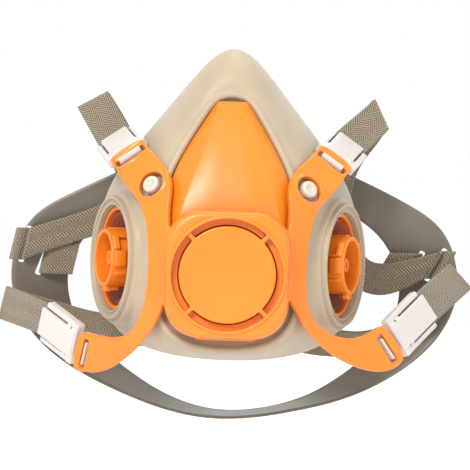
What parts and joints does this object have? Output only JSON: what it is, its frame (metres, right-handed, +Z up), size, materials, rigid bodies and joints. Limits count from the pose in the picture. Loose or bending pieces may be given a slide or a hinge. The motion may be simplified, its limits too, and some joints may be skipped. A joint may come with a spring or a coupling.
{
  "type": "half-mask respirator",
  "caption": "Reusable half-mask respirator: soft facepiece, rigid front with exhalation cover, two bayonet cheek ports, and elastic straps to a head cradle.",
  "frame": {"origin": "middle of the face opening, where the wearer's face rests in the seal", "axes": "+X to the right as seen from the front, +Y towards the wearer, +Z up towards the nose bridge"},
  "size_m": [0.2082, 0.1276, 0.1633],
  "materials": {
    "elastomer": "matte beige elastomer",
    "orange_plastic": "satin orange moulding",
    "gasket_rubber": "matte dark red-brown",
    "valve_silicone": "satin pale silicone",
    "cream_plastic": "satin cream moulding",
    "white_plastic": "satin white moulding",
    "webbing": "woven khaki elastic",
    "grey_plastic": "matte grey-brown moulding"
  },
  "bodies": {
    "root": {"facepiece": "elastomer", "nose_shell": "orange_plastic", "exhalation_seat": "cream_plastic", "left_port_housing": "orange_plastic", "right_port_housing": "orange_plastic", "left_port_gasket": "gasket_rubber", "right_port_gasket": "gasket_rubber", "yoke": "orange_plastic", "left_yoke_stud": "cream_plastic", "right_yoke_stud": "cream_plastic", "left_lower_strap_rear": "webbing", "right_lower_strap_rear": "webbing", "neck_hook": "cream_plastic"},
    "left_upper_buckle": {"left_upper_buckle": "white_plastic", "left_upper_strap_front": "webbing"},
    "right_upper_buckle": {"right_upper_buckle": "white_plastic", "right_upper_strap_front": "webbing"},
    "left_lower_buckle": {"left_lower_buckle": "white_plastic", "left_lower_strap_front": "webbing"},
    "right_lower_buckle": {"right_lower_buckle": "white_plastic", "right_lower_strap_front": "webbing"},
    "head_cradle": {"head_cradle": "grey_plastic", "left_upper_strap_rear": "webbing", "right_upper_strap_rear": "webbing"},
    "left_inhalation_flap": {"left_inhalation_flap": "valve_silicone"},
    "right_inhalation_flap": {"right_inhalation_flap": "valve_silicone"},
    "exhalation_flap": {"exhalation_flap": "valve_silicone"},
    "neck_eye": {"neck_eye": "cream_plastic"}
  },
  "joints": [
    {"name": "left_upper_buckle_hinge", "type": "hinge", "parent": "root", "child": "left_upper_buckle", "pos_m": [-0.04324, -0.01826, 0.02008], "axis": [0.8199, 0.0661, 0.5687], "range_deg": [0, 35], "stiffness_Nm_per_rad": 0.02},
    {"name": "right_upper_buckle_hinge", "type": "hinge", "parent": "root", "child": "right_upper_buckle", "pos_m": [0.04324, -0.01826, 0.02008], "axis": [0.8199, -0.0661, -0.5687], "range_deg": [0, 35], "stiffness_Nm_per_rad": 0.02},
    {"name": "left_lower_buckle_hinge", "type": "hinge", "parent": "root", "child": "left_lower_buckle", "pos_m": [-0.06089, -0.01006, -0.06377], "axis": [0.2016, -0.3529, 0.9137], "range_deg": [0, 35], "stiffness_Nm_per_rad": 0.02},
    {"name": "right_lower_buckle_hinge", "type": "hinge", "parent": "root", "child": "right_lower_buckle", "pos_m": [0.07024, -0.00971, -0.05715], "axis": [0.5623, 0.1994, -0.8025], "range_deg": [0, 35], "stiffness_Nm_per_rad": 0.02},
    {"name": "left_inhalation_flap_lift", "type": "slide", "parent": "root", "child": "left_inhalation_flap", "axis": [0.9272, 0.3746, 0], "range_m": [0, 0.0015], "stiffness_N_per_m": 20},
    {"name": "right_inhalation_flap_lift", "type": "slide", "parent": "root", "child": "right_inhalation_flap", "axis": [-0.9272, 0.3746, 0], "range_m": [0, 0.0015], "stiffness_N_per_m": 20},
    {"name": "exhalation_flap_lift", "type": "slide", "parent": "root", "child": "exhalation_flap", "axis": [0, -1, 0], "range_m": [0, 0.002], "stiffness_N_per_m": 20},
    {"name": "head_cradle_swing", "type": "hinge", "parent": "root", "child": "head_cradle", "pos_m": [0, 0.0215, 0.048], "axis": [1, 0, 0], "range_deg": [0, 60]},
    {"name": "neck_eye_hinge", "type": "hinge", "parent": "root", "child": "neck_eye", "pos_m": [0, 0.048, -0.055], "axis": [0, 0, 1], "range_deg": [-10, 10], "stiffness_Nm_per_rad": 0.005}
  ]
}
